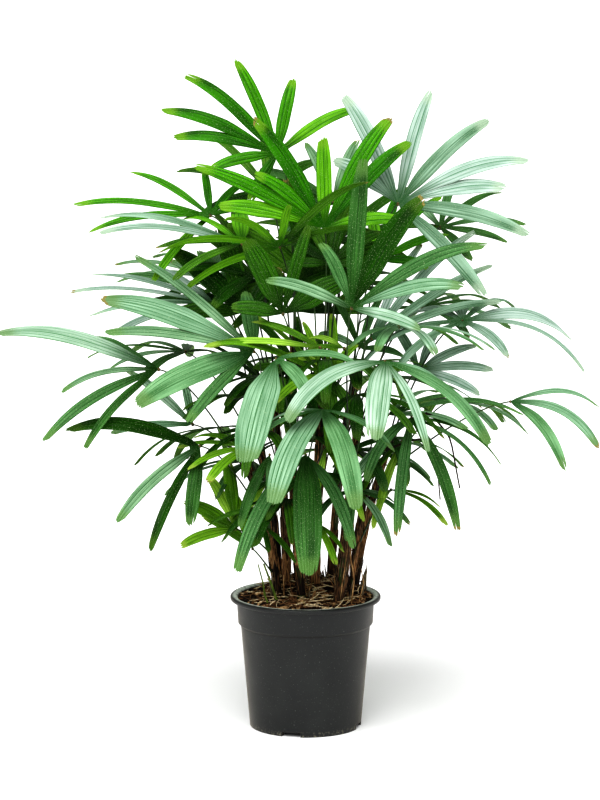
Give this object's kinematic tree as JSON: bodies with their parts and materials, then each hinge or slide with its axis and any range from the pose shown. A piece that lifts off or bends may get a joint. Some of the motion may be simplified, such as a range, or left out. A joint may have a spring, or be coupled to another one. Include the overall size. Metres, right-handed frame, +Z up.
{
  "type": "lady palm in a nursery pot",
  "caption": "Bushy potted lady palm: a clump of fibrous canes with fans of long blunt leaflets on thin stems, standing in a plain round nursery pot.",
  "frame": {"origin": "centre of the pot's flat underside, where it stands on the floor", "axes": "+Z up along the pot's axis, -Y towards the plant's front, +X to the viewer's right"},
  "size_m": [0.9494, 0.8129, 1.06],
  "materials": {
    "pot": "matte moulded charcoal plastic, dusty, with a worn rim",
    "potting_mix": "rough dark peat and bark with straw chips",
    "cane": "rough brown fibre sheaths",
    "frond_bright": "satin fresh green leaf, ribbed",
    "frond_middle": "satin mid green leaf, ribbed",
    "frond_pale": "glossy blue-green leaf with a pale sheen, ribbed",
    "frond_deep": "satin dark green leaf, ribbed"
  },
  "bodies": {
    "root": {"pot": "pot", "potting_mix": "potting_mix", "cane_01": "cane", "cane_02": "cane", "cane_03": "cane", "cane_04": "cane", "cane_05": "cane", "cane_06": "cane", "cane_07": "cane", "cane_08": "cane", "cane_09": "cane", "cane_10": "cane", "cane_11": "cane", "cane_12": "cane", "frond_01": "frond_bright", "frond_02": "frond_bright", "frond_03": "frond_pale", "frond_04": "frond_bright", "frond_05": "frond_bright", "frond_06": "frond_bright", "frond_07": "frond_middle", "frond_08": "frond_deep", "frond_09": "frond_middle", "frond_10": "frond_bright", "frond_11": "frond_deep", "frond_12": "frond_middle", "frond_13": "frond_pale", "frond_14": "frond_pale", "frond_15": "frond_pale", "frond_16": "frond_middle", "frond_17": "frond_pale", "frond_18": "frond_middle", "frond_19": "frond_middle", "frond_20": "frond_bright", "frond_21": "frond_deep", "frond_22": "frond_deep", "frond_23": "frond_middle", "frond_24": "frond_pale", "frond_25": "frond_middle", "frond_26": "frond_pale", "frond_27": "frond_middle", "frond_28": "frond_bright", "frond_29": "frond_bright", "frond_30": "frond_pale", "frond_31": "frond_middle", "frond_32": "frond_middle", "frond_33": "frond_middle", "frond_34": "frond_pale", "frond_35": "frond_bright", "frond_36": "frond_pale", "frond_37": "frond_deep", "frond_38": "frond_middle", "frond_39": "frond_deep", "frond_40": "frond_middle", "frond_41": "frond_middle", "frond_42": "frond_deep", "frond_43": "frond_middle", "frond_44": "frond_middle", "frond_45": "frond_deep", "frond_46": "frond_middle"}
  },
  "joints": []
}
